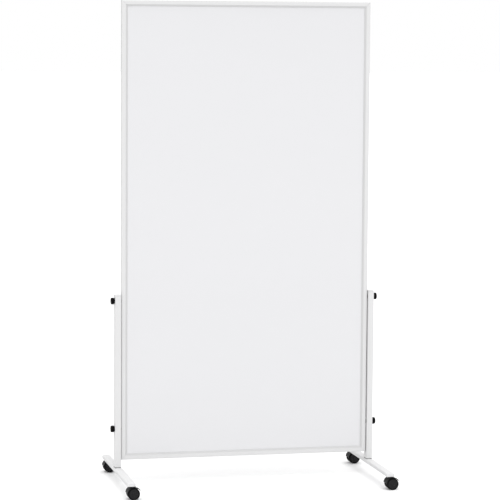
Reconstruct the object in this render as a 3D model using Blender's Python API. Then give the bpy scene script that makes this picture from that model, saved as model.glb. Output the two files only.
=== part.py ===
"""Rolling whiteboard: a tall framed board clamped between two T-shaped legs on castors.

Metres, +Z up. The origin is on the floor, midway between the feet. The board
faces -Y, +X is to the right of someone writing on it.
"""

import math

import bmesh
import bpy
from mathutils import Matrix

# ---------------------------------------------------------------- dimensions
GAP = 0.0003            # clearance between pieces that touch on the real object

# Board: four mitred extrusions round a sandwich panel.
BOARD_W = 0.997
BOARD_H = 1.800
BOARD_D = 0.023
BOARD_Z = 0.097         # lower edge above the floor
BOARD_Y = 0.026         # mid-plane, behind the middle of the feet
FACE_W = 0.0157         # flat front face of the extrusion
LIP_W = 0.0080          # sloping lip between the face and the writing surface
LIP_DROP = 0.0035
LIP_EDGE = 0.0008
WEB_U = 0.0150          # inner wall of the panel channel, from the outer edge
SLOT_MOUTH = 0.0033     # half width of the T-slot mouth in the outer edge
SLOT_LIP = 0.0014
SLOT_FLOOR = 0.0054
SLOT_HALF = 0.0062
CELL_U0, CELL_U1 = 0.0068, 0.0136
CELL_HALF = 0.0099
KEY_ARM = 0.055
SHEET_T = 0.0004        # steel facing
PANEL_HALF = 0.0069     # half thickness of the sandwich

# Legs: an upright tube standing on a low floor bar.
UPRIGHT_W = 0.0235
UPRIGHT_D = 0.040
UPRIGHT_R = 0.0028
TUBE_T = 0.0015
SIDE_GAP = 0.0020       # air between the board's edge and an upright
UPRIGHT_TOP = 0.750
CAP_T = 0.0025
BAR_L = 0.600
BAR_W = 0.032
BAR_H = 0.0155
BAR_Z = 0.0515
BAR_CROWN = 0.0012
PLUG_FLANGE = 0.0025
PLUG_L = 0.036

# Clamp knobs: two on each upright, screwed into nuts in the board's slots.
KNOB_Z = (0.2198, 0.7255)
KNOB_R = 0.0135
KNOB_L = 0.0150
KNOB_LOBES = 8
STUD_R = 0.0030
HOLE_R = 0.0033
STUD_IN_KNOB = 0.0090
SPACER_R = 0.0110
NUT_L = 0.024

# Castors: twin wheels on a hooded swivel.
CASTOR_Y = 0.2810       # swivel axes, from the middle of the bar
TRAIL = 0.0090          # wheel axle behind the swivel axis
WHEEL_R = 0.0235
WHEEL_Y0, WHEEL_Y1 = 0.0070, 0.0240
WHEEL_SIDES = 24
AXLE_R = 0.0030
STEM_R = 0.0040
STEM_BORE = 0.0043
HOOD_R0, HOOD_R1 = 0.0243, 0.0257
HOOD_HALF = 0.0243
WEB_HALF = 0.0060
LEVER_P = (0.0129, 0.0153)   # brake pedal pivot, from the wheel centre

HALF_W = BOARD_W / 2
UP_IN = HALF_W + SIDE_GAP
UP_OUT = UP_IN + UPRIGHT_W
LEG_X = UP_IN + UPRIGHT_W / 2
BAR_TOP = BAR_Z + BAR_H


# ------------------------------------------------------------------- helpers
def clear():
    for obj in list(bpy.data.objects):
        bpy.data.objects.remove(obj, do_unlink=True)


def material(name, colour, roughness, metallic=0.0):
    mat = bpy.data.materials.new(name)
    mat.use_nodes = True
    shader = mat.node_tree.nodes["Principled BSDF"]
    shader.inputs["Base Color"].default_value = (*colour, 1.0)
    shader.inputs["Roughness"].default_value = roughness
    shader.inputs["Metallic"].default_value = metallic
    mat.diffuse_color = (*colour, 1.0)
    return mat


def mesh_of(bm, name):
    bmesh.ops.recalc_face_normals(bm, faces=bm.faces)
    mesh = bpy.data.meshes.new(name)
    bm.to_mesh(mesh)
    bm.free()
    return mesh


def place(name, mesh, mat, location=(0, 0, 0), rotation=(0, 0, 0), parent=None, smooth=True):
    obj = bpy.data.objects.new(name, mesh)
    bpy.context.scene.collection.objects.link(obj)
    if not mesh.materials:
        mesh.materials.append(mat)
    obj.location = location
    obj.rotation_euler = rotation
    obj.parent = parent
    if smooth:
        mesh.shade_smooth()
        mesh.set_sharp_from_angle(angle=math.radians(32))
    return obj


def empty(name, location, parent=None):
    obj = bpy.data.objects.new(name, None)
    bpy.context.scene.collection.objects.link(obj)
    obj.location = location
    obj.parent = parent
    return obj


def ring(bm, points):
    return [bm.verts.new(p) for p in points]


def skin(bm, low, high):
    n = len(low)
    for i in range(n):
        bm.faces.new((low[i], low[(i + 1) % n], high[(i + 1) % n], high[i]))


def loft(loops, closed=False):
    """Skins equal loops of points in turn. Closed joins the last loop to the
    first, as round a tube's wall; otherwise both ends are capped."""
    bm = bmesh.new()
    rings = [ring(bm, loop) for loop in loops]
    for low, high in zip(rings, rings[1:]):
        skin(bm, low, high)
    if closed:
        skin(bm, rings[-1], rings[0])
    else:
        bm.faces.new(rings[0])
        bm.faces.new(rings[-1])
    return bm


def slab(outline, to_point, low, high):
    """Extrudes a 2-D outline between two offsets."""
    return loft([[to_point(a, b, s) for a, b in outline] for s in (low, high)])


def turned(profile, sides, closed=True, axis="Z", phase=0.0):
    """Spins an (r, h) profile about an axis; r = 0 closes it on the axis."""
    bm = bmesh.new()
    verts = [bm.verts.new((r * math.cos(phase), r * math.sin(phase), h)) for r, h in profile]
    pairs = list(zip(verts, verts[1:])) + ([(verts[-1], verts[0])] if closed else [])
    edges = [bm.edges.new(pair) for pair in pairs]
    bmesh.ops.spin(bm, geom=verts + edges, cent=(0, 0, 0), axis=(0, 0, 1),
                   angle=2 * math.pi, steps=sides, use_merge=True, use_duplicate=False)
    bmesh.ops.remove_doubles(bm, verts=bm.verts, dist=1e-6)
    bmesh.ops.dissolve_degenerate(bm, edges=bm.edges, dist=1e-7)
    if axis == "X":
        bmesh.ops.rotate(bm, verts=bm.verts, matrix=Matrix.Rotation(math.pi / 2, 3, "Y"))
    elif axis == "Y":
        bmesh.ops.rotate(bm, verts=bm.verts, matrix=Matrix.Rotation(-math.pi / 2, 3, "X"))
    return bm


def rod(radius, low, high, sides=16, axis="Z", chamfer=0.0, twist=0.0):
    """A pin. Holes are cut with a twisted one, whose corners miss the pin's."""
    if chamfer:
        profile = [(0, low), (radius - chamfer, low), (radius, low + chamfer),
                   (radius, high - chamfer), (radius - chamfer, high), (0, high)]
    else:
        profile = [(0, low), (radius, low), (radius, high), (0, high)]
    return turned(profile, sides, closed=False, axis=axis, phase=math.pi / sides + twist)


def corner(cx, cy, r, start, steps):
    return [(cx + r * math.cos(start + math.pi / 2 * i / steps),
             cy + r * math.sin(start + math.pi / 2 * i / steps)) for i in range(steps + 1)]


def rounded_box(w, d, r, steps=3):
    """Rounded rectangle centred on the origin, counter-clockwise."""
    x, y = w / 2 - r, d / 2 - r
    return (corner(x, y, r, 0, steps) + corner(-x, y, r, math.pi / 2, steps)
            + corner(-x, -y, r, math.pi, steps) + corner(x, -y, r, 1.5 * math.pi, steps))


def bar_outline(inset=0.0):
    """Floor bar section in x and height: flat underside, well rounded upper
    corners and a slightly crowned top."""
    w = BAR_W / 2 - inset
    low, high = inset, BAR_H - BAR_CROWN - inset
    rt, rb = max(0.0052 - inset, 0.0012), max(0.0020 - inset, 0.0006)
    points = corner(w - rt, high - rt, rt, 0, 3)
    for i in range(1, 4):
        x = (w - rt) * (1 - i / 2)
        points.append((x, high + BAR_CROWN * (1 - (x / (w - rt)) ** 2)))
    points += corner(-(w - rt), high - rt, rt, math.pi / 2, 3)
    points += corner(-(w - rb), low + rb, rb, math.pi, 2)
    points += corner(w - rb, low + rb, rb, 1.5 * math.pi, 2)
    return points


def helper(name, bm, location=(0, 0, 0), parent=None):
    """A cutter or a shape to add: never part of the model itself."""
    obj = place(name, mesh_of(bm, name), None, location, parent=parent, smooth=False)
    obj.hide_render = True
    obj.display_type = "WIRE"
    return obj


def boolean(obj, other, operation="DIFFERENCE"):
    mod = obj.modifiers.new(other.name, "BOOLEAN")
    mod.operation = operation
    mod.solver = "EXACT"
    mod.object = other
    return obj


def combined(name, base, *steps):
    """One mesh from a base shape and (operation, shape) steps."""
    obj = helper("make_" + name, base)
    extra = []
    for i, (operation, bm) in enumerate(steps):
        extra.append(helper("make_%s_%d" % (name, i), bm))
        boolean(obj, extra[-1], operation)
    bpy.context.view_layer.update()
    graph = bpy.context.evaluated_depsgraph_get()
    mesh = bpy.data.meshes.new_from_object(obj.evaluated_get(graph))
    mesh.name = name
    mesh.materials.clear()
    for each in [obj] + extra:
        bpy.data.objects.remove(each, do_unlink=True)
    return mesh


# --------------------------------------------------------------------- board
def frame_section():
    """(u, v) outline of the extrusion: u inwards from the board's outer edge,
    v through its thickness. T-slot outside, panel channel inside."""
    h = BOARD_D / 2
    r = 0.0015
    inner = FACE_W + LIP_W
    lip = h - LIP_DROP
    channel = lip - LIP_EDGE
    half = [(0, SLOT_MOUTH), (0, h - r), (r * 0.29, h - r * 0.29), (r, h), (FACE_W, h),
            (inner, lip), (inner, channel), (WEB_U, channel)]
    slot = [(SLOT_FLOOR, SLOT_HALF), (SLOT_LIP, SLOT_HALF), (SLOT_LIP, SLOT_MOUTH)]
    upper = slot + half
    lower = [(u, -v) for u, v in reversed(upper)]
    return upper + lower


def frame_member(length):
    """Along local X with its outer edge at z = 0 and inwards +Z. Both ends are
    mitred, and a closed cell for the corner keys runs through it."""
    cell = [(CELL_U0, -CELL_HALF), (CELL_U1, -CELL_HALF), (CELL_U1, -0.0072 + 0.0002),
            (CELL_U1, 0.0072 - 0.0002), (CELL_U1, CELL_HALF), (CELL_U0, CELL_HALF)]
    bm = bmesh.new()
    edges = []
    for outline in (frame_section(), cell):
        verts = [bm.verts.new((0, v, u)) for u, v in outline]
        edges += [bm.edges.new((verts[i], verts[(i + 1) % len(verts)])) for i in range(len(verts))]
    bmesh.ops.triangle_fill(bm, use_beauty=True, use_dissolve=False, edges=edges)
    first = list(bm.verts)
    grown = bmesh.ops.extrude_face_region(bm, geom=list(bm.faces), use_keep_orig=True)
    last = [g for g in grown["geom"] if isinstance(g, bmesh.types.BMVert)]
    short = GAP / 2 * math.sqrt(2)
    for v in first:
        v.co.x = -(length / 2 - v.co.z - short)
    for v in last:
        v.co.x = length / 2 - v.co.z - short
    return mesh_of(bm, "frame_member")


def corner_key():
    a, b, c = CELL_U0 + GAP, CELL_U1 - GAP, 0.0012
    outline = [(a + c, a), (KEY_ARM, a), (KEY_ARM, b - c), (KEY_ARM - c, b), (b, b),
               (b, KEY_ARM - c), (b - c, KEY_ARM), (a, KEY_ARM), (a, a + c)]
    h = CELL_HALF - GAP
    return mesh_of(slab(outline, lambda x, z, y: (x, y, z), -h, h), "corner_key")


def sheet(low, high):
    x = HALF_W - WEB_U - GAP
    z = BOARD_H / 2 - WEB_U - GAP
    outline = rounded_box(2 * x, 2 * z, 0.002, 2)
    return mesh_of(slab(outline, lambda a, b, s: (a, s, b), low, high), "sheet")


# ---------------------------------------------------------------------- legs
def upright_mesh():
    outer = rounded_box(UPRIGHT_W, UPRIGHT_D, UPRIGHT_R)
    inner = rounded_box(UPRIGHT_W - 2 * TUBE_T, UPRIGHT_D - 2 * TUBE_T, UPRIGHT_R - TUBE_T)
    low, high = BAR_TOP + GAP, UPRIGHT_TOP - CAP_T - GAP
    loops = [[(x, y, z) for x, y in outline] for outline, z in
             ((outer, low), (outer, high), (inner, high), (inner, low))]
    return mesh_of(loft(loops, closed=True), "upright")


def upright_cap_mesh():
    def outline(inset):
        return rounded_box(UPRIGHT_W - 2 * inset, UPRIGHT_D - 2 * inset, max(UPRIGHT_R - inset, 0.0006))
    top, under = UPRIGHT_TOP, UPRIGHT_TOP - CAP_T
    plug = TUBE_T + GAP
    steps = ((0.0016, top), (0.0005, top - 0.0005), (0, top - 0.0016), (0, under),
             (plug, under), (plug, under - 0.012), (plug + 0.001, under - 0.016))
    return mesh_of(loft([[(x, y, z) for x, y in outline(i)] for i, z in steps]), "upright_cap")


def bar_mesh():
    half = BAR_L / 2 - PLUG_FLANGE - GAP
    loops = [[(x, y, z) for x, z in bar_outline(i)] for i, y in
             ((0, -half), (0, half), (TUBE_T, half), (TUBE_T, -half))]
    return mesh_of(loft(loops, closed=True), "floor_bar")


def bar_plug_mesh():
    """End plug at y = 0 reaching inwards along +Y, with the castor's socket."""
    fit = TUBE_T + GAP
    steps = ((0.0016, 0), (0.0005, 0.0005), (0, 0.0015), (0, PLUG_FLANGE), (fit, PLUG_FLANGE),
             (fit, PLUG_L - 0.002), (fit + 0.001, PLUG_L))
    body = loft([[(x, y, z) for x, z in bar_outline(i)] for i, y in steps])
    bore = rod(STEM_BORE, -0.002, 0.0112, sides=16, twist=0.07)
    bmesh.ops.translate(bore, verts=bore.verts, vec=(0, BAR_L / 2 - CASTOR_Y, 0))
    bmesh.ops.recalc_face_normals(body, faces=body.faces)
    return combined("bar_plug", body, ("DIFFERENCE", bore))


# --------------------------------------------------------------------- knobs
def knob_mesh():
    """Lobed grip on local X: from the upright's face at x = 0 outwards."""
    count = KNOB_LOBES * 4

    def loop(x, radius, depth):
        points = []
        for i in range(count):
            t = 2 * math.pi * i / count
            r = radius - depth * (0.5 - 0.5 * math.cos(KNOB_LOBES * t)) ** 1.5
            points.append((x, r * math.cos(t), r * math.sin(t)))
        return points
    steps = ((0, 0.0105, 0), (0.0020, 0.0105, 0), (0.0034, KNOB_R, 0.0015),
             (0.0118, KNOB_R - 0.0004, 0.0015), (0.0142, KNOB_R - 0.0034, 0.0007), (KNOB_L, 0.0072, 0))
    body = loft([loop(*step) for step in steps])
    bmesh.ops.recalc_face_normals(body, faces=body.faces)
    bore = rod(HOLE_R, -0.002, STUD_IN_KNOB + GAP, axis="X", sides=12, twist=0.07)
    return combined("knob", body, ("DIFFERENCE", bore))


def nut_mesh():
    """Slot nut on local X: the plate lies in the T-slot, u towards +X."""
    u0, u1 = SLOT_LIP + GAP, SLOT_FLOOR - GAP
    half = SLOT_HALF - GAP - 0.0001
    outline = rounded_box(2 * half, NUT_L, 0.0015, 2)
    body = slab(outline, lambda a, b, s: (s, a, b), u0, u1)
    bmesh.ops.recalc_face_normals(body, faces=body.faces)
    return combined("slot_nut", body, ("DIFFERENCE", rod(HOLE_R, 0, 0.01, axis="X", sides=12, twist=0.07)))


# ------------------------------------------------------------------- castors
def wheel_mesh():
    """One wheel about local Y, its inner face at y = 0. A blind hub bore runs
    in from that face and the outer face is dished round a raised hub."""
    r, w = WHEEL_R / math.cos(math.pi / WHEEL_SIDES), WHEEL_Y1 - WHEEL_Y0
    profile = [(HOLE_R, 0), (r - 0.0020, 0), (r, 0.0020), (r, w - 0.0026), (r - 0.0020, w - 0.0006),
               (0.0172, w - 0.0006), (0.0162, w - 0.0024), (0.0066, w - 0.0024), (0.0056, w),
               (0, w), (0, w - 0.0017), (HOLE_R, w - 0.0017)]
    bm = turned(profile, WHEEL_SIDES, closed=True, axis="Y", phase=math.pi / WHEEL_SIDES)
    return mesh_of(bm, "wheel")


def arc(radius, start, end, steps):
    return [(radius * math.cos(math.radians(start + (end - start) * i / steps)),
             radius * math.sin(math.radians(start + (end - start) * i / steps)))
            for i in range(steps + 1)]


def hood_mesh(braked):
    """Swivel body about the wheel centre: a curved hood over both wheels, the
    web between them and the boss that holds the swivel stem."""
    def up(a, b, s):
        return (a, s, b)
    start = 58 if braked else 16
    shell = slab(arc(HOOD_R1, start, 176, 13) + arc(HOOD_R0, 176, start, 13), up, -HOOD_HALF, HOOD_HALF)
    hub = arc(0.0078, 176, 376, 7)
    crown = arc(0.0250, 60, 172, 9)
    if braked:
        crown = arc(0.0237, 22, 56, 3) + crown
    else:
        crown = arc(0.0250, 20, 48, 3) + crown
    web = slab(hub + crown, up, -WEB_HALF, WEB_HALF)
    boss = rod(WEB_HALF, 0.0050, 0.0259, sides=16)
    bore = rod(STEM_BORE, 0.0070, 0.0300, sides=16, twist=0.07)
    for bm in (boss, bore):
        bmesh.ops.translate(bm, verts=bm.verts, vec=(-TRAIL, 0, 0))
    for bm in (shell, web):
        bmesh.ops.recalc_face_normals(bm, faces=bm.faces)
    steps = [("UNION", web), ("UNION", boss), ("DIFFERENCE", bore),
             ("DIFFERENCE", rod(HOLE_R, -0.01, 0.01, axis="Y", sides=12, twist=0.07))]
    if braked:
        px, pz = LEVER_P
        slot = slab([(px - 0.0038, pz - 0.0040), (0.032, pz - 0.0040), (0.032, 0.032), (px - 0.0038, 0.032)],
                    up, -0.0034, 0.0034)
        bmesh.ops.recalc_face_normals(slot, faces=slot.faces)
        pin = rod(0.0023, -0.01, 0.01, sides=12, axis="Y", twist=0.07)
        bmesh.ops.translate(pin, verts=pin.verts, vec=(px, 0, pz))
        steps += [("DIFFERENCE", slot), ("DIFFERENCE", pin)]
    return combined("hood_braked" if braked else "hood_plain", shell, *steps)


def lever_mesh():
    """Brake pedal about its own pivot: a blade beyond the wheels, a root in the
    hood's slot and a trunnion each side."""
    px, pz = LEVER_P
    blade = [(0.0160, 0.0206), (0.0164, 0.0184), (0.0221, 0.0144), (0.0268, 0.0098),
             (0.0276, 0.0106), (0.0272, 0.0122), (0.0226, 0.0171)]
    body = slab([(a - px, b - pz) for a, b in blade], lambda a, b, s: (a, s, b), -0.0095, 0.0095)
    neck = slab([(-0.0018, 0.0015), (0.0018, -0.0015), (0.0060, 0.0025), (0.0034, 0.0049)],
                lambda a, b, s: (a, s, b), -0.0029, 0.0029)
    for bm in (body, neck):
        bmesh.ops.recalc_face_normals(bm, faces=bm.faces)
    return combined("brake_pedal", body, ("UNION", neck),
                    ("UNION", rod(0.0032, -0.0030, 0.0030, sides=16, axis="Y")),
                    ("UNION", rod(0.0020, -0.0056, 0.0056, sides=12, axis="Y")))


def stem_mesh():
    """Swivel stem on its own axis, heights above the floor."""
    flange = BAR_Z - GAP
    profile = [(0, 0.0315), (STEM_R, 0.0315), (STEM_R, flange - 0.0015), (0.0072, flange - 0.0015),
               (0.0072, flange), (STEM_R, flange), (STEM_R, 0.0612), (STEM_R - 0.0006, 0.0618), (0, 0.0618)]
    return mesh_of(turned(profile, 16, closed=False), "swivel_stem")


# --------------------------------------------------------------------- build
def build():
    clear()
    white_frame = material("frame_white", (0.86, 0.86, 0.86), 0.42, 0.0)
    board_white = material("writing_surface", (0.88, 0.88, 0.90), 0.22, 0.0)
    core_grey = material("panel_core", (0.55, 0.47, 0.36), 0.90, 0.0)
    leg_white = material("leg_white", (0.86, 0.86, 0.86), 0.40, 0.0)
    cap_white = material("cap_white", (0.78, 0.78, 0.78), 0.55, 0.0)
    black = material("black_plastic", (0.014, 0.014, 0.015), 0.50, 0.0)
    tyre = material("wheel_black", (0.020, 0.020, 0.022), 0.60, 0.0)
    steel = material("zinc_steel", (0.62, 0.62, 0.60), 0.35, 1.0)
    alloy = material("key_alloy", (0.66, 0.66, 0.68), 0.45, 1.0)

    stand = empty("stand", (0, 0, 0))
    board = empty("board", (0, BOARD_Y, BOARD_Z + BOARD_H / 2))
    quarter = math.pi / 2

    # Extruded frame, with a key inside each mitre.
    across, along = frame_member(BOARD_W), frame_member(BOARD_H)
    zh = BOARD_H / 2
    place("frame_bottom", across, white_frame, (0, 0, -zh), parent=board)
    place("frame_top", across, white_frame, (0, 0, zh), (0, 2 * quarter, 0), board)
    place("frame_left", along, white_frame, (-HALF_W, 0, 0), (0, quarter, 0), board)
    place("frame_right", along, white_frame, (HALF_W, 0, 0), (0, -quarter, 0), board)
    key = corner_key()
    for name, x, z, turn in (("bottom_left", -HALF_W, -zh, 0), ("bottom_right", HALF_W, -zh, -quarter),
                             ("top_right", HALF_W, zh, 2 * quarter), ("top_left", -HALF_W, zh, quarter)):
        place("corner_key_" + name, key, alloy, (x, 0, z), (0, turn, 0), board, smooth=False)

    # Sandwich panel: two coated steel facings on a light core.
    face = PANEL_HALF - SHEET_T
    place("writing_surface_front", sheet(-PANEL_HALF, -face), board_white, parent=board, smooth=False)
    place("panel_core", sheet(-face + GAP, face - GAP), core_grey, parent=board, smooth=False)
    place("writing_surface_back", sheet(face, PANEL_HALF), board_white, parent=board, smooth=False)

    # Legs.
    tube, cap, bar, plug = upright_mesh(), upright_cap_mesh(), bar_mesh(), bar_plug_mesh()
    knob, nut = knob_mesh(), nut_mesh()
    spacer = mesh_of(turned([(HOLE_R, GAP), (SPACER_R, GAP), (SPACER_R, SIDE_GAP - GAP),
                             (HOLE_R, SIDE_GAP - GAP)], 16, axis="X"), "spacer")
    stud = mesh_of(rod(STUD_R, -(UPRIGHT_W + SIDE_GAP + STUD_IN_KNOB), 0.0050, axis="X", sides=12, chamfer=0.0005), "stud")
    stem, wheel, pedal = stem_mesh(), wheel_mesh(), lever_mesh()
    hoods = {True: hood_mesh(True), False: hood_mesh(False)}
    axle = mesh_of(rod(AXLE_R, -(WHEEL_Y1 - 0.0017 - GAP), WHEEL_Y1 - 0.0017 - GAP, axis="Y", sides=12, chamfer=0.0004), "axle")

    for side, sign in (("left", -1), ("right", 1)):
        # Local +X of these pieces points at the board from either side.
        facing = 0 if sign < 0 else math.pi
        upright = place("upright_" + side, tube, leg_white, (sign * LEG_X, BOARD_Y, 0), parent=stand)
        place("upright_cap_" + side, cap, cap_white, (sign * LEG_X, BOARD_Y, 0), parent=stand)
        floor_bar = place("floor_bar_" + side, bar, leg_white, (sign * LEG_X, 0, BAR_Z), parent=stand)
        for level, z in zip(("lower", "upper"), KNOB_Z):
            tag = "%s_%s" % (side, level)
            hole = helper("cut_knob_" + tag, rod(HOLE_R, -0.02, 0.02, axis="X", sides=12, twist=0.07),
                          (sign * LEG_X, BOARD_Y, z), stand)
            boolean(upright, hole)
            pivot = empty("knob_pivot_" + tag, (sign * UP_OUT, BOARD_Y, z), stand)
            place("knob_" + tag, knob, black, (sign * GAP, 0, 0), (0, 0, facing + math.pi), pivot)
            place("knob_stud_" + tag, stud, steel, (-sign * (UPRIGHT_W + SIDE_GAP), 0, 0), (0, 0, facing), pivot)
            place("slot_nut_" + tag, nut, steel, (sign * HALF_W, BOARD_Y, z), (0, 0, facing), stand, smooth=False)
            place("spacer_" + tag, spacer, black, (sign * UP_IN, BOARD_Y, z), (0, 0, facing), stand)
        for end, toward in (("front", -1), ("rear", 1)):
            tag = "%s_%s" % (end, side)
            braked = end == "front"
            x, y = sign * LEG_X, toward * CASTOR_Y
            place("floor_bar_plug_" + tag, plug, cap_white, (x, toward * BAR_L / 2, BAR_Z),
                  (0, 0, 0 if toward < 0 else math.pi), stand)
            hole = helper("cut_stem_" + tag, rod(STEM_BORE, -0.005, TUBE_T + 0.0015, sides=16, twist=0.07),
                          (x, y, BAR_Z), stand)
            boolean(floor_bar, hole)
            place("castor_stem_" + tag, stem, steel, (x, y, 0), parent=stand)
            swivel = empty("castor_swivel_" + tag, (x, y, 0), stand)
            hub = empty("castor_axle_centre_" + tag, (TRAIL, 0, WHEEL_R), swivel)
            place("castor_hood_" + tag, hoods[braked], black, parent=hub)
            place("castor_axle_" + tag, axle, steel, parent=hub)
            place("castor_wheel_a_" + tag, wheel, tyre, (0, -WHEEL_Y0, 0), (0, 0, math.pi), hub)
            place("castor_wheel_b_" + tag, wheel, tyre, (0, WHEEL_Y0, 0), parent=hub)
            if braked:
                pedal_pivot = empty("brake_pivot_" + tag, (LEVER_P[0], 0, LEVER_P[1]), hub)
                place("brake_pedal_" + tag, pedal, black, parent=pedal_pivot)


build()
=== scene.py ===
# Looks of the rolling whiteboard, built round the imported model.
# Metres, +Z up. The board faces -Y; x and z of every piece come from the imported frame.
import math

import bmesh
import bpy
from mathutils import Matrix, Quaternion, Vector


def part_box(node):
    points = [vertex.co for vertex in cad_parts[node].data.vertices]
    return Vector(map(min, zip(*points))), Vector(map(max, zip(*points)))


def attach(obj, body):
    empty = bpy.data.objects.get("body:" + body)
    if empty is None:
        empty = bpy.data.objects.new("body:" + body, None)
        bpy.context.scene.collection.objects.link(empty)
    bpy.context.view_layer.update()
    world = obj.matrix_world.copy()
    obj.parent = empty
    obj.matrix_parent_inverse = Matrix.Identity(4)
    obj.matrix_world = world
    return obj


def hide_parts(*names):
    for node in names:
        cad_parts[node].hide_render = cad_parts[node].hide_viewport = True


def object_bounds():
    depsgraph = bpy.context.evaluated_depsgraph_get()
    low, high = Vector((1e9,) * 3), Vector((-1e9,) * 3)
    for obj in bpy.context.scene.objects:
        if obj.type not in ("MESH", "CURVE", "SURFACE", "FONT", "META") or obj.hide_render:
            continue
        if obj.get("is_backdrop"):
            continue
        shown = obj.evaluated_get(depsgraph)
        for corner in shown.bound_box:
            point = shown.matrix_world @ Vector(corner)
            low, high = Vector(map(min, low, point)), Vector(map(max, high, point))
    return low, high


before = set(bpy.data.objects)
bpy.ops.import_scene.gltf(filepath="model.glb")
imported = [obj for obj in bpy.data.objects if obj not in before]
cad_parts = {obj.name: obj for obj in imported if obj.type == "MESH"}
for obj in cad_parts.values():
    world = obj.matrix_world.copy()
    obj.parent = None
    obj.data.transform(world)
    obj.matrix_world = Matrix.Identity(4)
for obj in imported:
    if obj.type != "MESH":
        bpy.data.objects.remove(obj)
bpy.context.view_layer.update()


# ------------------------------------------------------------- measured frame
def size_of(node):
    low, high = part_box(node)
    return low, high, high - low


GAP = 0.0003
low, high, _ = size_of("frame_left")
HALF_W = -low.x
BOARD_LOW, BOARD_HIGH = low.z, high.z
BOARD_Y, BOARD_D = (low.y + high.y) / 2, high.y - low.y
BOARD_H = BOARD_HIGH - BOARD_LOW
BOARD_MID = (BOARD_LOW + BOARD_HIGH) / 2
low, high, span = size_of("upright_right")
UP_IN, UP_OUT, LEG_X = low.x, high.x, (low.x + high.x) / 2
UPRIGHT_W, UPRIGHT_D = span.x, span.y
UPRIGHT_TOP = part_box("upright_cap_right")[1].z
low, high, span = size_of("floor_bar_right")
BAR_Z, BAR_TOP, BAR_W, BAR_H = low.z, high.z, span.x, span.z
BAR_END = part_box("floor_bar_plug_rear_right")[1].y
low, high, _ = size_of("castor_stem_rear_right")
CASTOR_Y = (low.y + high.y) / 2
low, high, _ = size_of("castor_axle_rear_right")
TRAIL = (low.x + high.x) / 2 - LEG_X
WHEEL_R = (low.z + high.z) / 2
KNOB_Z = [sum(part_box("spacer_right_" + level)[k].z for k in (0, 1)) / 2 for level in ("lower", "upper")]

# Sections, as on the CAD nodes that these pieces stand for.
FACE_W, LIP_W, LIP_DROP, LIP_EDGE, WEB_U = 0.0157, 0.0080, 0.0035, 0.0008, 0.0150
SLOT_MOUTH, SLOT_LIP, SLOT_FLOOR, SLOT_HALF = 0.0033, 0.0014, 0.0054, 0.0062
CELL_U0, CELL_U1, CELL_HALF = 0.0068, 0.0136, 0.0099
UPRIGHT_R, TUBE_T, SIDE_GAP, CAP_T = 0.0028, 0.0015, UP_IN - HALF_W, 0.0025
BAR_CROWN, PLUG_FLANGE, PLUG_L = 0.0012, 0.0025, 0.036
KNOB_R, KNOB_L, KNOB_LOBES, STUD_IN_KNOB = 0.0135, 0.0150, 8, 0.0090
HOLE_R, SPACER_R = 0.0033, 0.0110
WHEEL_Y0, WHEEL_Y1 = 0.0070, 0.0240
STEM_R, STEM_BORE = 0.0040, 0.0043
HOOD_R0, HOOD_R1, HOOD_HALF, WEB_HALF = 0.0243, 0.0257, 0.0243, 0.0060
LEVER_P = (0.0129, 0.0153)
GASKET = 0.0022


# -------------------------------------------------------------------- finishes
def new(tree, kind, **settings):
    node = tree.nodes.new(kind)
    for key, value in settings.items():
        if key in node.inputs.keys():
            node.inputs[key].default_value = value
        else:
            setattr(node, key, value)
    return node


def noise(tree, source, scale, detail=3.0, rough=0.5, stretch=None):
    if stretch:
        turn = new(tree, "ShaderNodeMapping")
        turn.inputs["Scale"].default_value = stretch
        tree.links.new(source, turn.inputs["Vector"])
        source = turn.outputs["Vector"]
    made = new(tree, "ShaderNodeTexNoise", Scale=scale, Detail=detail, Roughness=rough)
    tree.links.new(source, made.inputs["Vector"])
    return made.outputs["Fac"]


def spread(tree, source, low, high, start=0.3, end=0.7):
    made = new(tree, "ShaderNodeMapRange")
    for name, value in (("From Min", start), ("From Max", end), ("To Min", low), ("To Max", high)):
        made.inputs[name].default_value = value
    tree.links.new(source, made.inputs["Value"])
    return made.outputs["Result"]


def ramp(tree, source, stops):
    made = new(tree, "ShaderNodeValToRGB")
    while len(made.color_ramp.elements) < len(stops):
        made.color_ramp.elements.new(0.5)
    for element, (at, colour) in zip(made.color_ramp.elements, stops):
        element.position = at
        element.color = (*colour, 1.0)
    tree.links.new(source, made.inputs["Fac"])
    return made.outputs["Color"]


def shade(colour, by):
    return tuple(max(0.0, c * by) for c in colour)


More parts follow.
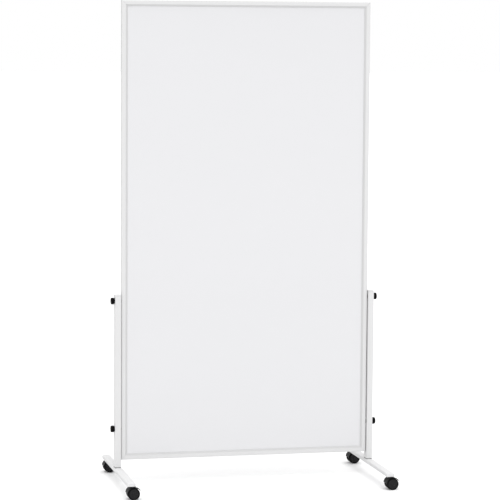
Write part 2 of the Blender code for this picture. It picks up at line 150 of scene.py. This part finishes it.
def look(name, colour, roughness, metallic=0.0, specular=0.5, patch=(4.0, 0.012), grain=(900.0, 0.00004),
         fine=None, vary=0.05, stretch=None, coat=0.0, coat_rough=0.1):
    """A finish with slow colour patches, a roughness that drifts and a surface
    grain of real height."""
    mat = bpy.data.materials.new(name)
    mat.use_nodes = True
    tree = mat.node_tree
    shader = tree.nodes["Principled BSDF"]
    shader.inputs["Metallic"].default_value = metallic
    shader.inputs["Specular IOR Level"].default_value = specular
    if coat:
        shader.inputs["Coat Weight"].default_value = coat
        shader.inputs["Coat Roughness"].default_value = coat_rough
    at = new(tree, "ShaderNodeTexCoord").outputs["Object"]
    slow = noise(tree, at, patch[0], 4.0, 0.55, stretch)
    tone = ramp(tree, slow, ((0.32, shade(colour, 1 - patch[1])), (0.68, shade(colour, 1 + patch[1]))))
    tree.links.new(tone, shader.inputs["Base Color"])
    drift = noise(tree, at, patch[0] * 9.0, 3.0, 0.6, stretch)
    tree.links.new(spread(tree, drift, roughness - vary, roughness + vary), shader.inputs["Roughness"])
    height = noise(tree, at, grain[0], 2.0, 0.5, stretch)
    bump = new(tree, "ShaderNodeBump", Strength=1.0, Distance=grain[1])
    tree.links.new(height, bump.inputs["Height"])
    if fine:
        cells = new(tree, "ShaderNodeTexVoronoi", Scale=fine[0])
        tree.links.new(at, cells.inputs["Vector"])
        under = new(tree, "ShaderNodeBump", Strength=1.0, Distance=fine[1])
        tree.links.new(cells.outputs["Distance"], under.inputs["Height"])
        tree.links.new(under.outputs["Normal"], bump.inputs["Normal"])
    tree.links.new(bump.outputs["Normal"], shader.inputs["Normal"])
    mat.diffuse_color = (*colour, 1.0)
    return mat


# Powder coat: an orange peel of about 1.5 mm over the whole of each tube.
frame_paint = look("frame_powder_coat", (0.602, 0.602, 0.605), 0.46, specular=0.16, patch=(2.5, 0.010),
                   grain=(650.0, 0.000020), fine=(2600.0, 0.000006), vary=0.04)
# The sloped inner lip gets a darker copy of the frame coat: painted shade, for the recess where the lip drops to the
# panel.
lip_painted_shade = look("lip_coat_painted_shade", (0.508, 0.508, 0.511), 0.48, specular=0.22, patch=(2.5, 0.010),
                 grain=(650.0, 0.000020), fine=(2600.0, 0.000006), vary=0.04)
leg_paint = look("leg_powder_coat", (0.610, 0.610, 0.612), 0.50, specular=0.08, patch=(3.0, 0.010),
                 grain=(600.0, 0.000024), fine=(2400.0, 0.000006), vary=0.05)
# Lacquered steel: smooth and glossy, with a faint haze left by wiping it sideways.
enamel = look("writing_lacquer", (0.613, 0.613, 0.626), 0.17, patch=(1.3, 0.006),
              grain=(160.0, 0.000010), vary=0.045, stretch=(0.35, 1.0, 1.6), coat=0.35, coat_rough=0.06)
cap_plastic = look("cap_moulded_plastic", (0.560, 0.560, 0.564), 0.52, patch=(22.0, 0.020),
                   grain=(2200.0, 0.000018), fine=(4200.0, 0.000010), vary=0.05)
plug_plastic = look("plug_moulded_plastic", (0.640, 0.640, 0.644), 0.50, patch=(22.0, 0.020),
                    grain=(2200.0, 0.000018), fine=(4200.0, 0.000010), vary=0.05)
# Near-black finish for the thin seat under each upright: painted shade, standing in for the contact shadow where the
# upright meets the floor bar.
seat_painted_shade = look("seat_rubber_painted_shade", (0.135, 0.135, 0.138), 0.70, patch=(60.0, 0.060),
                      grain=(2600.0, 0.000020), vary=0.06)
black_plastic = look("black_moulded_plastic", (0.0026, 0.0026, 0.0029), 0.58, specular=0.05, patch=(30.0, 0.120),
                     grain=(1900.0, 0.000022), fine=(3800.0, 0.000014), vary=0.07)
hood_plastic = look("hood_moulded_plastic", (0.0035, 0.0035, 0.0039), 0.46, specular=0.07, patch=(30.0, 0.120),
                    grain=(1700.0, 0.000026), fine=(3600.0, 0.000016), vary=0.07)
tyre_rubber = look("tyre_soft_tread", (0.0040, 0.0040, 0.0043), 0.68, specular=0.08, patch=(45.0, 0.180),
                   grain=(1500.0, 0.000030), vary=0.08)
disc_plastic = look("wheel_disc_plastic", (0.0120, 0.0120, 0.0128), 0.44, specular=0.13, patch=(38.0, 0.100),
                    grain=(2000.0, 0.000020), fine=(3900.0, 0.000012), vary=0.06)
zinc = look("zinc_plated_steel", (0.60, 0.60, 0.585), 0.33, metallic=1.0, patch=(90.0, 0.060),
            grain=(2400.0, 0.000012), vary=0.09)
alloy = look("die_cast_alloy", (0.64, 0.64, 0.66), 0.45, metallic=1.0, patch=(70.0, 0.050),
             grain=(1600.0, 0.000030), vary=0.08)
core_board = look("honeycomb_core", (0.50, 0.42, 0.31), 0.90, patch=(80.0, 0.120),
                  grain=(420.0, 0.000200), fine=(90.0, 0.000500), vary=0.04)


# --------------------------------------------------------------------- shapes
def soft(points, radius, steps=4, hold=0.00022):
    """Rounds an outline's corners. A point is added just beyond each rounding,
    so that the flats between them stay flat in shading too."""
    made, n = [], len(points)
    for i, p in enumerate(points):
        r = radius[i] if isinstance(radius, (list, tuple)) else radius
        here = Vector(p)
        a, b = Vector(points[i - 1]) - here, Vector(points[(i + 1) % n]) - here
        la, lb = a.length, b.length
        if r <= 0:
            made.append(tuple(here))
            continue
        a.normalize(), b.normalize()
        t = min(r, 0.42 * la, 0.42 * lb)
        made.append(tuple(here + a * (t + min(hold, 0.04 * la))))
        for k in range(steps + 1):
            s = k / steps
            made.append(tuple((here + a * t) * (1 - s) ** 2 + here * (2 * s * (1 - s)) + (here + b * t) * s * s))
        made.append(tuple(here + b * (t + min(hold, 0.04 * lb))))
    return made


def mesh_of(bm, name):
    bmesh.ops.recalc_face_normals(bm, faces=bm.faces)
    mesh = bpy.data.meshes.new(name)
    bm.to_mesh(mesh)
    bm.free()
    return mesh


def loft(loops, closed=False):
    bm = bmesh.new()
    rings = [[bm.verts.new(p) for p in loop] for loop in loops]
    pairs = list(zip(rings, rings[1:])) + ([(rings[-1], rings[0])] if closed else [])
    for low, high in pairs:
        n = len(low)
        for i in range(n):
            bm.faces.new((low[i], low[(i + 1) % n], high[(i + 1) % n], high[i]))
    if not closed:
        bm.faces.new(rings[0])
        bm.faces.new(rings[-1])
    bmesh.ops.recalc_face_normals(bm, faces=bm.faces)
    return bm


def slab(outline, to_point, low, high):
    return loft([[to_point(a, b, s) for a, b in outline] for s in (low, high)])


def turned(profile, sides, closed=True, axis="Z", phase=0.0):
    bm = bmesh.new()
    verts = [bm.verts.new((r * math.cos(phase), r * math.sin(phase), h)) for r, h in profile]
    pairs = list(zip(verts, verts[1:])) + ([(verts[-1], verts[0])] if closed else [])
    edges = [bm.edges.new(pair) for pair in pairs]
    bmesh.ops.spin(bm, geom=verts + edges, cent=(0, 0, 0), axis=(0, 0, 1),
                   angle=2 * math.pi, steps=sides, use_merge=True, use_duplicate=False)
    bmesh.ops.remove_doubles(bm, verts=bm.verts, dist=1e-6)
    bmesh.ops.dissolve_degenerate(bm, edges=bm.edges, dist=1e-7)
    if axis == "X":
        bmesh.ops.rotate(bm, verts=bm.verts, matrix=Matrix.Rotation(math.pi / 2, 3, "Y"))
    elif axis == "Y":
        bmesh.ops.rotate(bm, verts=bm.verts, matrix=Matrix.Rotation(-math.pi / 2, 3, "X"))
    bmesh.ops.recalc_face_normals(bm, faces=bm.faces)
    return bm


def rod(radius, low, high, sides=32, axis="Z", twist=0.0):
    profile = [(0, low), (radius, low), (radius, high), (0, high)]
    return turned(profile, sides, closed=False, axis=axis, phase=math.pi / sides + twist)


def combined(name, base, *steps):
    """One mesh from a base shape and (operation, shape) steps."""
    objects = []
    for i, bm in enumerate([base] + [bm for _, bm in steps]):
        obj = bpy.data.objects.new("make_%s_%d" % (name, i), mesh_of(bm, "make"))
        bpy.context.scene.collection.objects.link(obj)
        objects.append(obj)
    for (operation, _), other in zip(steps, objects[1:]):
        mod = objects[0].modifiers.new(other.name, "BOOLEAN")
        mod.operation, mod.solver, mod.object = operation, "EXACT", other
    bpy.context.view_layer.update()
    graph = bpy.context.evaluated_depsgraph_get()
    mesh = bpy.data.meshes.new_from_object(objects[0].evaluated_get(graph))
    mesh.name = name
    mesh.materials.clear()
    for obj in objects:
        bpy.data.objects.remove(obj, do_unlink=True)
    return mesh


def piece(name, mesh, finish, body, stands_for, at=(0, 0, 0), turn=0.0, axis="Z", crease=28.0):
    obj = bpy.data.objects.new(name, mesh)
    bpy.context.scene.collection.objects.link(obj)
    if not mesh.materials:
        for each in finish if isinstance(finish, (list, tuple)) else [finish]:
            mesh.materials.append(each)
    mesh.shade_smooth()
    mesh.set_sharp_from_angle(angle=math.radians(crease))
    obj.matrix_world = Matrix.Translation(Vector(at)) @ Matrix.Rotation(turn, 4, axis)
    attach(obj, body)
    if stands_for:
        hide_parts(*stands_for)
    return obj


def bevelled(obj, width, segments=3, angle=35.0):
    mod = obj.modifiers.new("edges", "BEVEL")
    mod.width, mod.segments = width, segments
    mod.limit_method, mod.angle_limit = "ANGLE", math.radians(angle)
    mod.harden_normals = True
    return obj


def rectangle(w, d, r, steps=7):
    return soft([(w / 2, d / 2), (-w / 2, d / 2), (-w / 2, -d / 2), (w / 2, -d / 2)], r, steps)


def arc(radius, start, end, steps):
    return [(radius * math.cos(math.radians(start + (end - start) * i / steps)),
             radius * math.sin(math.radians(start + (end - start) * i / steps)))
            for i in range(steps + 1)]


# ---------------------------------------------------------------------- board
def frame_member(length):
    h = BOARD_D / 2
    inner, lip = FACE_W + LIP_W, h - LIP_DROP
    channel = lip - LIP_EDGE
    upper = [((SLOT_FLOOR, SLOT_HALF), 0.0004), ((SLOT_LIP, SLOT_HALF), 0.0002), ((SLOT_LIP, SLOT_MOUTH), 0.0003),
             ((0, SLOT_MOUTH), 0.0004), ((0, h), 0.0034), ((FACE_W, h), 0.0009), ((inner, lip), 0.0003),
             ((inner, channel), 0.0002), ((WEB_U, channel), 0.0004)]
    both = upper + [((u, -v), r) for (u, v), r in reversed(upper)]
    section = soft([p for p, _ in both], [r for _, r in both], 5)
    cell = soft([(CELL_U0, -CELL_HALF), (CELL_U1, -CELL_HALF), (CELL_U1, CELL_HALF), (CELL_U0, CELL_HALF)], 0.0003, 2)
    bm = bmesh.new()
    edges = []
    for outline in (section, cell):
        verts = [bm.verts.new((0, v, u)) for u, v in outline]
        edges += [bm.edges.new((verts[i], verts[(i + 1) % len(verts)])) for i in range(len(verts))]
    bmesh.ops.triangle_fill(bm, use_beauty=True, use_dissolve=False, edges=edges)
    first = list(bm.verts)
    grown = bmesh.ops.extrude_face_region(bm, geom=list(bm.faces), use_keep_orig=True)
    last = [g for g in grown["geom"] if isinstance(g, bmesh.types.BMVert)]
    short = GAP / 2 * math.sqrt(2)
    for v in first:
        v.co.x = -(length / 2 - v.co.z - short)
    for v in last:
        v.co.x = length / 2 - v.co.z - short
    mesh = mesh_of(bm, "extrusion")
    mesh.materials.append(frame_paint)
    mesh.materials.append(lip_painted_shade)
    # Faces of the sloped inner lip take the darker copy: painted shade in the recess beside the panel.
    for face in mesh.polygons:
        if 0.82 < abs(face.normal.y) < 0.97 and face.normal.z > 0.2 and face.center.z > FACE_W:
            face.material_index = 1
    return mesh


quarter = math.pi / 2
across, along = frame_member(2 * HALF_W), frame_member(BOARD_H)
for side, mesh, x, z, turn in (("bottom", across, 0, BOARD_LOW, 0), ("top", across, 0, BOARD_HIGH, 2 * quarter),
                               ("left", along, -HALF_W, BOARD_MID, quarter), ("right", along, HALF_W, BOARD_MID, -quarter)):
    piece("frame_%s_extrusion" % side, mesh, frame_paint, "board", ["frame_" + side],
          (x, BOARD_Y, z), turn, "Y")


# ----------------------------------------------------------------------- legs
def crown(x):
    flat = BAR_W / 2 - 0.0052
    return BAR_TOP - BAR_CROWN * min(1.0, (x / flat) ** 2)


def upright_mesh(sign):
    def at(z, w, d, r):
        return [(x, y, z) for x, y in rectangle(w, d, r)]
    low, high = BAR_TOP + GASKET, UPRIGHT_TOP - CAP_T - GAP
    w, d, t = UPRIGHT_W, UPRIGHT_D, TUBE_T
    e = 0.0004
    body = loft([at(low, w - 2 * e, d - 2 * e, UPRIGHT_R - e), at(low + e, w, d, UPRIGHT_R),
                 at(low + 0.001, w, d, UPRIGHT_R), at(high - 0.001, w, d, UPRIGHT_R),
                 at(high - e, w, d, UPRIGHT_R), at(high, w - 2 * e, d - 2 * e, UPRIGHT_R - e),
                 at(high, w - 2 * t, d - 2 * t, UPRIGHT_R - t), at(low, w - 2 * t, d - 2 * t, UPRIGHT_R - t)], closed=True)
    cuts = []
    for z in KNOB_Z:
        hole = rod(HOLE_R, -0.02, 0.02, 32, "X", 0.03)
        bmesh.ops.translate(hole, verts=hole.verts, vec=(0, 0, z))
        cuts.append(("DIFFERENCE", hole))
    return combined("upright_tube", body, *cuts)


def gasket_mesh():
    """Thin seat between the upright's lower end and the crowned bar."""
    outer, inner = rectangle(UPRIGHT_W - 0.0010, UPRIGHT_D - 0.0010, UPRIGHT_R - 0.0005), \
        rectangle(UPRIGHT_W - 2 * TUBE_T - 0.0014, UPRIGHT_D - 2 * TUBE_T - 0.0014, 0.0009)
    top = BAR_TOP + GASKET - 0.0001
    loops = [[(x, y, crown(x) + 0.00008) for x, y in outer], [(x, y, top) for x, y in outer],
             [(x, y, top) for x, y in inner], [(x, y, crown(x) + 0.00008) for x, y in inner]]
    return mesh_of(loft(loops, closed=True), "upright_seat")


def cap_mesh():
    top, under, plug = UPRIGHT_TOP, UPRIGHT_TOP - CAP_T, TUBE_T + GAP
    steps = [(0.0030, top), (0.0019, top - 0.00006), (0.0012, top - 0.00028), (0.0006, top - 0.00068),
             (0.00018, top - 0.00125), (0, top - 0.0019), (0, under + 0.0004), (0.0002, under + 0.00008),
             (0.0004, under), (plug, under), (plug, under - 0.0115), (plug + 0.0009, under - 0.016)]
    return mesh_of(loft([[(x, y, z) for x, y in rectangle(UPRIGHT_W - 2 * i, UPRIGHT_D - 2 * i, max(UPRIGHT_R - i, 0.0005))]
                         for i, z in steps]), "upright_end_cap")


def bar_outline(inset=0.0):
    w = BAR_W / 2 - inset
    low, shoulder = inset, BAR_H - BAR_CROWN - inset
    rt, rb = max(0.0052 - inset, 0.0012), max(0.0020 - inset, 0.0006)
    made = [(w - rt + rt * math.cos(k * quarter / 8), shoulder - rt + rt * math.sin(k * quarter / 8)) for k in range(9)]
    for k in range(1, 12):
        x = (w - rt) * (1 - k / 6)
        made.append((x, shoulder + BAR_CROWN * (1 - (x / (w - rt)) ** 2)))
    made += [(-(w - rt) - rt * math.sin(k * quarter / 8), shoulder - rt + rt * math.cos(k * quarter / 8)) for k in range(9)]
    made += [(-w, low + rb + 0.0002)]
    made += [(-w + rb - rb * math.cos(k * quarter / 4), low + rb - rb * math.sin(k * quarter / 4)) for k in range(5)]
    made += [(-w + rb + 0.0002, low), (w - rb - 0.0002, low)]
    made += [(w - rb + rb * math.sin(k * quarter / 4), low + rb - rb * math.cos(k * quarter / 4)) for k in range(5)]
    made += [(w, low + rb + 0.0002)]
    return made


def bar_mesh():
    half, e = BAR_END - PLUG_FLANGE - GAP, 0.0003
    loops = [[(x, y, z) for x, z in bar_outline(i)] for i, y in
             ((e, -half), (0, -half + e), (0, -half + 0.001), (0, half - 0.001), (0, half - e), (e, half),
              (TUBE_T, half), (TUBE_T, -half))]
    cuts = []
    for sign in (-1, 1):
        hole = rod(STEM_BORE, -0.005, TUBE_T + 0.0015, 32, "Z", 0.03)
        bmesh.ops.translate(hole, verts=hole.verts, vec=(0, sign * CASTOR_Y, 0))
        cuts.append(("DIFFERENCE", hole))
    return combined("floor_bar_tube", loft(loops, closed=True), *cuts)


def plug_mesh():
    fit = TUBE_T + GAP
    steps = ((0.0026, 0.0), (0.0016, 0.00006), (0.0010, 0.00030), (0.0005, 0.00072), (0.00015, 0.0012), (0, 0.0017),
             (0, PLUG_FLANGE - 0.0003), (0.0002, PLUG_FLANGE), (fit, PLUG_FLANGE), (fit, PLUG_L - 0.002), (fit + 0.001, PLUG_L))
    body = loft([[(x, y, z) for x, z in bar_outline(i)] for i, y in steps])
    bore = rod(STEM_BORE, -0.002, 0.0112, 32, "Z", 0.03)
    bmesh.ops.translate(bore, verts=bore.verts, vec=(0, BAR_END - CASTOR_Y, 0))
    return combined("floor_bar_end", body, ("DIFFERENCE", bore))


# ---------------------------------------------------------------------- knobs
def knob_mesh():
    count = KNOB_LOBES * 14
    steps = ((0.0, 0.0102, 0), (0.0003, 0.0105, 0), (0.0014, 0.0105, 0), (0.0020, 0.0107, 0.0001),
             (0.0026, 0.0118, 0.0006), (0.0031, 0.0129, 0.0011), (0.0038, 0.01345, 0.0014), (0.0050, KNOB_R, 0.0015),
             (0.0090, KNOB_R, 0.0015), (0.0116, 0.01335, 0.0014), (0.0130, 0.0129, 0.0013), (0.0139, 0.0121, 0.0010),
             (0.0145, 0.0109, 0.0006), (0.0148, 0.0095, 0.0003), (0.01495, 0.0080, 0.0001), (KNOB_L, 0.0066, 0),
             (KNOB_L, 0.0054, 0), (0.0147, 0.0050, 0), (0.0144, 0.0049, 0), (0.0143, 0.0046, 0), (0.0145, 0.0030, 0),
             (0.0146, 0.0012, 0))

    def loop(x, radius, depth):
        points = []
        for i in range(count):
            t = 2 * math.pi * i / count
            r = radius - depth * (0.5 - 0.5 * math.cos(KNOB_LOBES * t)) ** 1.6
            points.append((x, r * math.cos(t), r * math.sin(t)))
        return points
    body = loft([loop(*step) for step in steps])
    return combined("knob_grip", body, ("DIFFERENCE", rod(HOLE_R, -0.002, STUD_IN_KNOB + GAP, 32, "X", 0.013)))


spacer = mesh_of(turned(soft([(HOLE_R, GAP), (SPACER_R, GAP), (SPACER_R, SIDE_GAP - GAP), (HOLE_R, SIDE_GAP - GAP)],
                             0.0005, 3), 64, axis="X"), "spacer_washer")


# --------------------------------------------------------------------- castors
def wheel_mesh():
    """One wheel about local Y, its inner face at y = 0: a soft tyre on a dished
    disc with a raised hub and six shallow pockets."""
    r, w = WHEEL_R, WHEEL_Y1 - WHEEL_Y0
    profile = [(HOLE_R, 0), (0.0098, 0), (0.0104, 0.0008), (0.0180, 0.0008), (0.0186, 0.0002),
               (r - 0.0023, 0.0), (r - 0.0012, 0.0003), (r - 0.0005, 0.0010), (r - 0.00012, 0.0021), (r, 0.0038),
               (r, w - 0.0050), (r - 0.00012, w - 0.0034), (r - 0.0006, w - 0.0020), (r - 0.0015, w - 0.0011),
               (r - 0.0027, w - 0.0007), (0.0196, w - 0.0006), (0.0191, w - 0.0009), (0.0188, w - 0.0015),
               (0.0184, w - 0.0015), (0.0181, w - 0.0009), (0.0176, w - 0.0006), (0.0168, w - 0.0006),
               (0.0162, w - 0.0009), (0.0157, w - 0.0017), (0.0150, w - 0.0022), (0.0130, w - 0.0024),
               (0.0100, w - 0.0024), (0.0078, w - 0.0023), (0.0069, w - 0.0018), (0.0064, w - 0.0009),
               (0.0060, w - 0.0004), (0.0053, w - 0.0001), (0.0036, w), (0.0016, w), (0, w),
               (0, w - 0.0017), (HOLE_R, w - 0.0017)]
    bm = turned(profile, 96, axis="Y", phase=math.pi / 96)
    for v in bm.verts:
        d, t = math.hypot(v.co.x, v.co.z), math.atan2(v.co.z, v.co.x)
        if 0.0095 < d < 0.0152 and v.co.y > w - 0.004:
            pocket = max(0.0, math.cos(6 * t)) ** 0.6
            v.co.y += 0.0007 * (1 - pocket) - 0.0002
    mesh = mesh_of(bm, "castor_wheel")
    mesh.materials.append(disc_plastic)
    mesh.materials.append(tyre_rubber)
    for face in mesh.polygons:
        d = math.hypot(face.center.x, face.center.z)
        face.material_index = 1 if d > 0.01885 else 0
    return mesh


def hood_mesh(braked):
    """Swivel body about the wheel centre."""
    def up(a, b, s):
        return (a, s, b)
    start = 58 if braked else 16
    section = soft([(HOOD_R0, -HOOD_HALF), (HOOD_R1, -HOOD_HALF), (HOOD_R1, HOOD_HALF), (HOOD_R0, HOOD_HALF)],
                   0.00055, 4, 0.0006)
    mid = ((HOOD_R0 + HOOD_R1) / 2, 0.0)

    def station(angle, tuck=0.0):
        t = math.radians(angle)
        points = []
        for r, y in section:
            r = mid[0] + (r - mid[0]) * (1 - tuck)
            y = y * (1 - 0.02 * tuck)
            points.append((r * math.cos(t), y, r * math.sin(t)))
        return points
    steps = 44
    angles = [start + (176 - start) * i / steps for i in range(steps + 1)]
    rings = [station(start, 0.45), station(start + 0.7, 0.12)] + [station(a) for a in angles[1:-1]]
    rings += [station(176 - 0.7, 0.12), station(176, 0.45)]
    shell = loft(rings)
    hub = arc(0.0078, 176, 376, 20)
    crown_arc = (arc(0.0237, 22, 56, 8) if braked else arc(0.0250, 20, 48, 8)) + arc(0.0250, 60, 172, 26)
    web = slab(hub + crown_arc, up, -WEB_HALF, WEB_HALF)
    boss, bore = rod(WEB_HALF, 0.0050, 0.0259, 40), rod(STEM_BORE, 0.0070, 0.0300, 40, "Z", 0.03)
    for bm in (boss, bore):
        bmesh.ops.translate(bm, verts=bm.verts, vec=(-TRAIL, 0, 0))
    jobs = [("UNION", web), ("UNION", boss), ("DIFFERENCE", bore),
            ("DIFFERENCE", rod(HOLE_R, -0.01, 0.01, 32, "Y", 0.03))]
    if braked:
        px, pz = LEVER_P
        slot = slab([(px - 0.0038, pz - 0.0040), (0.032, pz - 0.0040), (0.032, 0.032), (px - 0.0038, 0.032)],
                    up, -0.0034, 0.0034)
        pin = rod(0.0023, -0.01, 0.01, 28, "Y", 0.03)
        bmesh.ops.translate(pin, verts=pin.verts, vec=(px, 0, pz))
        jobs += [("DIFFERENCE", slot), ("DIFFERENCE", pin)]
    return combined("castor_hood_braked" if braked else "castor_hood_plain", shell, *jobs)


def pedal_mesh():
    """Brake pedal about its own pivot, with grip ribs across the blade."""
    def up(a, b, s):
        return (a, s, b)
    px, pz = LEVER_P
    blade = [(0.0160, 0.0206), (0.0164, 0.0184), (0.0221, 0.0144), (0.0268, 0.0098),
             (0.0276, 0.0106), (0.0272, 0.0122), (0.0226, 0.0171)]
    outline = soft([(a - px, b - pz) for a, b in blade], [0.0005, 0.0005, 0.0030, 0.0004, 0.0004, 0.0008, 0.0030], 4, 0.0)
    body = slab(outline, up, -0.0095, 0.0095)
    neck = slab([(-0.0018, 0.0015), (0.0018, -0.0015), (0.0060, 0.0025), (0.0034, 0.0049)], up, -0.0029, 0.0029)
    jobs = [("UNION", neck)]
    for (ax, az), (bx, bz), shares in (((0.0160, 0.0206), (0.0226, 0.0171), (0.35, 0.68)),
                                       ((0.0226, 0.0171), (0.0272, 0.0122), (0.10, 0.42, 0.74))):
        for share in shares:
            x, z = ax + (bx - ax) * share - px, az + (bz - az) * share - pz
            rib = turned([(0, -0.0086), (0.00042, -0.0082), (0.00042, 0.0082), (0, 0.0086)], 12, closed=False, axis="Y")
            bmesh.ops.translate(rib, verts=rib.verts, vec=(x, 0, z))
            jobs.append(("UNION", rib))
    jobs += [("UNION", rod(0.0032, -0.0030, 0.0030, 28, "Y")), ("UNION", rod(0.0020, -0.0056, 0.0056, 24, "Y", 0.05))]
    return combined("brake_pedal_blade", body, *jobs)


def stem_mesh():
    flange = BAR_Z - GAP
    profile = [(0, 0.0315), (STEM_R - 0.0004, 0.0315), (STEM_R, 0.0319), (STEM_R, flange - 0.0015), (0.0069, flange - 0.0015),
               (0.0072, flange - 0.0012), (0.0072, flange - 0.0003), (0.0069, flange), (STEM_R, flange), (STEM_R, 0.0612),
               (STEM_R - 0.0006, 0.0618), (0, 0.0618)]
    return mesh_of(turned(profile, 48, closed=False), "castor_stem_pin")


gasket, cap, bar, plug = gasket_mesh(), cap_mesh(), bar_mesh(), plug_mesh()
upright, knob, stem, wheel, pedal = upright_mesh(1), knob_mesh(), stem_mesh(), wheel_mesh(), pedal_mesh()
hoods = {True: hood_mesh(True), False: hood_mesh(False)}

for side, sign in (("left", -1), ("right", 1)):
    facing = 0 if sign < 0 else math.pi
    x = sign * LEG_X
    piece("upright_%s_tube" % side, upright, leg_paint, "stand", ["upright_" + side], (x, BOARD_Y, 0))
    # The seat's near-black finish is painted shade: the contact shadow at the upright's foot.
    piece("upright_%s_seat" % side, gasket, seat_painted_shade, "stand", [], (x, BOARD_Y, 0))
    piece("upright_%s_end_cap" % side, cap, cap_plastic, "stand", ["upright_cap_" + side], (x, BOARD_Y, 0))
    piece("floor_bar_%s_tube" % side, bar, leg_paint, "stand", ["floor_bar_" + side], (x, 0, BAR_Z))
    for level, z in zip(("lower", "upper"), KNOB_Z):
        tag = "%s_%s" % (side, level)
        piece("knob_%s_grip" % tag, knob, black_plastic, "knob_" + tag, ["knob_" + tag],
              (sign * (UP_OUT + GAP), BOARD_Y, z), facing + math.pi)
        piece("spacer_%s_washer" % tag, spacer, black_plastic, "stand", ["spacer_" + tag],
              (sign * UP_IN, BOARD_Y, z), facing)
    for end, toward in (("front", -1), ("rear", 1)):
        tag = "%s_%s" % (end, side)
        braked = end == "front"
        y = toward * CASTOR_Y
        piece("floor_bar_end_" + tag, plug, plug_plastic, "stand", ["floor_bar_plug_" + tag],
              (x, toward * BAR_END, BAR_Z), 0 if toward < 0 else math.pi)
        piece("castor_pin_" + tag, stem, zinc, "stand", ["castor_stem_" + tag], (x, y, 0))
        hub = (x + TRAIL, y, WHEEL_R)
        piece("castor_body_" + tag, hoods[braked], hood_plastic, "swivel_" + tag,
              ["castor_hood_" + tag], hub)
        for letter, way in (("a", -1), ("b", 1)):
            piece("castor_wheel_%s_%s_tyred" % (letter, tag), wheel, [], "wheel_%s_%s" % (letter, tag),
                  ["castor_wheel_%s_%s" % (letter, tag)], (hub[0], hub[1] + way * WHEEL_Y0, hub[2]),
                  math.pi if way < 0 else 0)
        if braked:
            piece("brake_%s_blade" % tag, pedal, hood_plastic, "brake_" + tag, ["brake_pedal_" + tag],
                  (hub[0] + LEVER_P[0], hub[1], hub[2] + LEVER_P[1]))

# CAD nodes that stay: their shape is right, and they take a finish of their own.
for name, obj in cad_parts.items():
    if obj.hide_render:
        continue
    if name.startswith("writing_surface"):
        finish = enamel
    elif name.startswith("panel_core"):
        finish = core_board
    elif name.startswith("corner_key"):
        finish = alloy
    else:
        finish = zinc
    obj.data.materials.clear()
    obj.data.materials.append(finish)

# ------------------------------------------------------------- floor and light
floor_mesh = bpy.data.meshes.new("floor")
floor_mesh.from_pydata([(-90, -90, 0), (90, -90, 0), (90, 90, 0), (-90, 90, 0)], [], [(0, 1, 2, 3)])
floor = bpy.data.objects.new("floor", floor_mesh)
bpy.context.scene.collection.objects.link(floor)
floor_mesh.materials.append(look("floor_paper", (0.85, 0.85, 0.85), 0.90, specular=0.1, patch=(0.6, 0.004),
                                 grain=(300.0, 0.00002), vary=0.03))
floor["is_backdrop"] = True

world = bpy.data.worlds.new("studio")
bpy.context.scene.world = world
world.use_nodes = True
world.node_tree.nodes["Background"].inputs["Color"].default_value = (1.0, 1.0, 1.0, 1.0)
world.node_tree.nodes["Background"].inputs["Strength"].default_value = 1.0


def lamp(name, toward, strength, width):
    """A distant, very wide source: soft shading with no hard shadow edges."""
    data = bpy.data.lights.new(name, "SUN")
    data.energy, data.angle = strength, math.radians(width)
    obj = bpy.data.objects.new(name, data)
    bpy.context.scene.collection.objects.link(obj)
    obj.location = Vector(toward) * 3
    obj.rotation_euler = Vector(toward).to_track_quat("Z", "Y").to_euler()
    return obj


lamp("front", (0.0, -1.0, 0.80), 0.45, 60.0)
lamp("top", (0.0, -0.10, 1.0), 1.60, 60.0)

# --------------------------------------------------------------------- camera
FOCAL, AZIMUTH, ELEVATION, ROLL = 2287.7, -12.912, 5.4385, 0.0067
TARGET, DISTANCE = Vector((0.0179, BOARD_Y, 0.91805)), 9.0488
az, el = math.radians(AZIMUTH), math.radians(ELEVATION)
back = Vector((math.sin(az) * math.cos(el), -math.cos(az) * math.cos(el), math.sin(el)))
cam = bpy.data.cameras.new("camera")
cam.sensor_width, cam.lens = 36.0, FOCAL / 500.0 * 36.0
cam.clip_start, cam.clip_end = 0.1, 200.0
camera = bpy.data.objects.new("camera", cam)
bpy.context.scene.collection.objects.link(camera)
camera.rotation_mode = "QUATERNION"
camera.location = TARGET + back * DISTANCE
camera.rotation_quaternion = (-back).to_track_quat("-Z", "Y") @ Quaternion((0, 0, 1), ROLL)
bpy.context.scene.camera = camera
bpy.context.scene.view_settings.view_transform = "Standard"

low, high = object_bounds()
